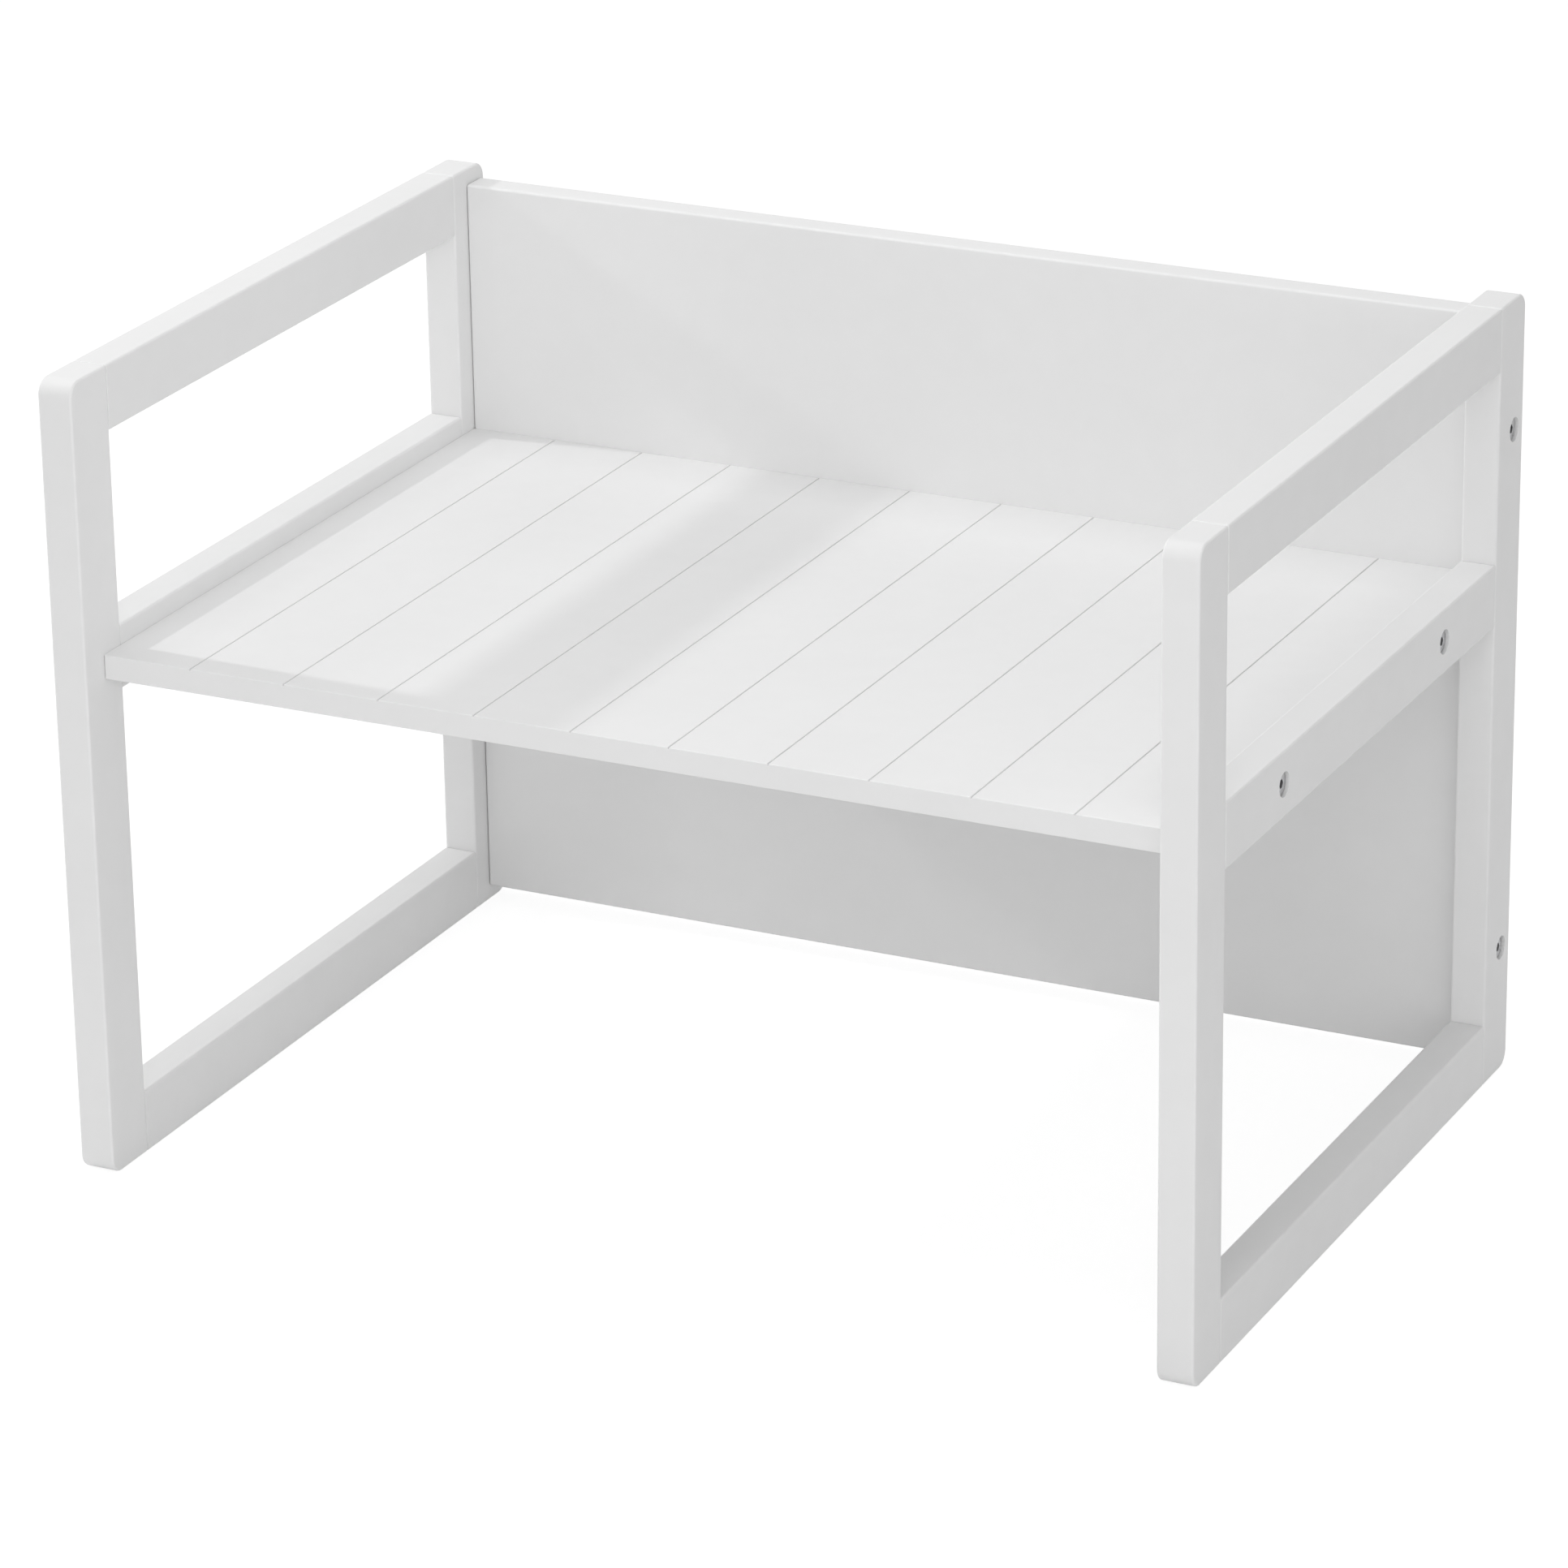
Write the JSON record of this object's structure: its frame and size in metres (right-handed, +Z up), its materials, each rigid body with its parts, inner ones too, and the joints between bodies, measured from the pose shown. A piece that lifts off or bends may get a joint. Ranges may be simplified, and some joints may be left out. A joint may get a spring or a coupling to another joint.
{
  "type": "monks bench",
  "caption": "White wooden children's bench with open side frames, a grooved seat board and a full-height back panel, which turns over to a lower seat or tips to a table.",
  "frame": {"origin": "on the floor, under the centre of the bench's overall box", "axes": "+Z up, -Y towards the front of the bench, +X towards its right side seen from the front"},
  "size_m": [0.58, 0.4, 0.4],
  "materials": {
    "white_lacquer": "satin",
    "beech_dowel": "matte",
    "zinc_screw": "satin"
  },
  "bodies": {
    "root": {"left_front_post": "white_lacquer", "left_rear_post": "white_lacquer", "left_bottom_rail": "white_lacquer", "left_seat_rail": "white_lacquer", "left_top_rail": "white_lacquer", "right_front_post": "white_lacquer", "right_rear_post": "white_lacquer", "right_bottom_rail": "white_lacquer", "right_seat_rail": "white_lacquer", "right_top_rail": "white_lacquer", "seat_board": "white_lacquer", "back_panel": "white_lacquer", "left_bottom_rail_front_dowel_1": "beech_dowel", "left_bottom_rail_front_dowel_2": "beech_dowel", "left_bottom_rail_rear_dowel_1": "beech_dowel", "left_bottom_rail_rear_dowel_2": "beech_dowel", "left_seat_rail_front_dowel_1": "beech_dowel", "left_seat_rail_front_dowel_2": "beech_dowel", "left_seat_rail_rear_dowel_1": "beech_dowel", "left_seat_rail_rear_dowel_2": "beech_dowel", "left_top_rail_front_dowel_1": "beech_dowel", "left_top_rail_front_dowel_2": "beech_dowel", "left_top_rail_rear_dowel_1": "beech_dowel", "left_top_rail_rear_dowel_2": "beech_dowel", "right_bottom_rail_front_dowel_1": "beech_dowel", "right_bottom_rail_front_dowel_2": "beech_dowel", "right_bottom_rail_rear_dowel_1": "beech_dowel", "right_bottom_rail_rear_dowel_2": "beech_dowel", "right_seat_rail_front_dowel_1": "beech_dowel", "right_seat_rail_front_dowel_2": "beech_dowel", "right_seat_rail_rear_dowel_1": "beech_dowel", "right_seat_rail_rear_dowel_2": "beech_dowel", "right_top_rail_front_dowel_1": "beech_dowel", "right_top_rail_front_dowel_2": "beech_dowel", "right_top_rail_rear_dowel_1": "beech_dowel", "right_top_rail_rear_dowel_2": "beech_dowel", "seat_dowel_left_front": "beech_dowel", "seat_dowel_left_rear": "beech_dowel", "seat_dowel_right_front": "beech_dowel", "seat_dowel_right_rear": "beech_dowel", "panel_dowel_left_lower": "beech_dowel", "panel_dowel_left_upper": "beech_dowel", "panel_dowel_right_lower": "beech_dowel", "panel_dowel_right_upper": "beech_dowel", "seat_screw_left_front": "zinc_screw", "seat_screw_left_rear": "zinc_screw", "seat_screw_right_front": "zinc_screw", "seat_screw_right_rear": "zinc_screw", "panel_screw_left_lower": "zinc_screw", "panel_screw_left_upper": "zinc_screw", "panel_screw_right_lower": "zinc_screw", "panel_screw_right_upper": "zinc_screw"}
  },
  "joints": []
}
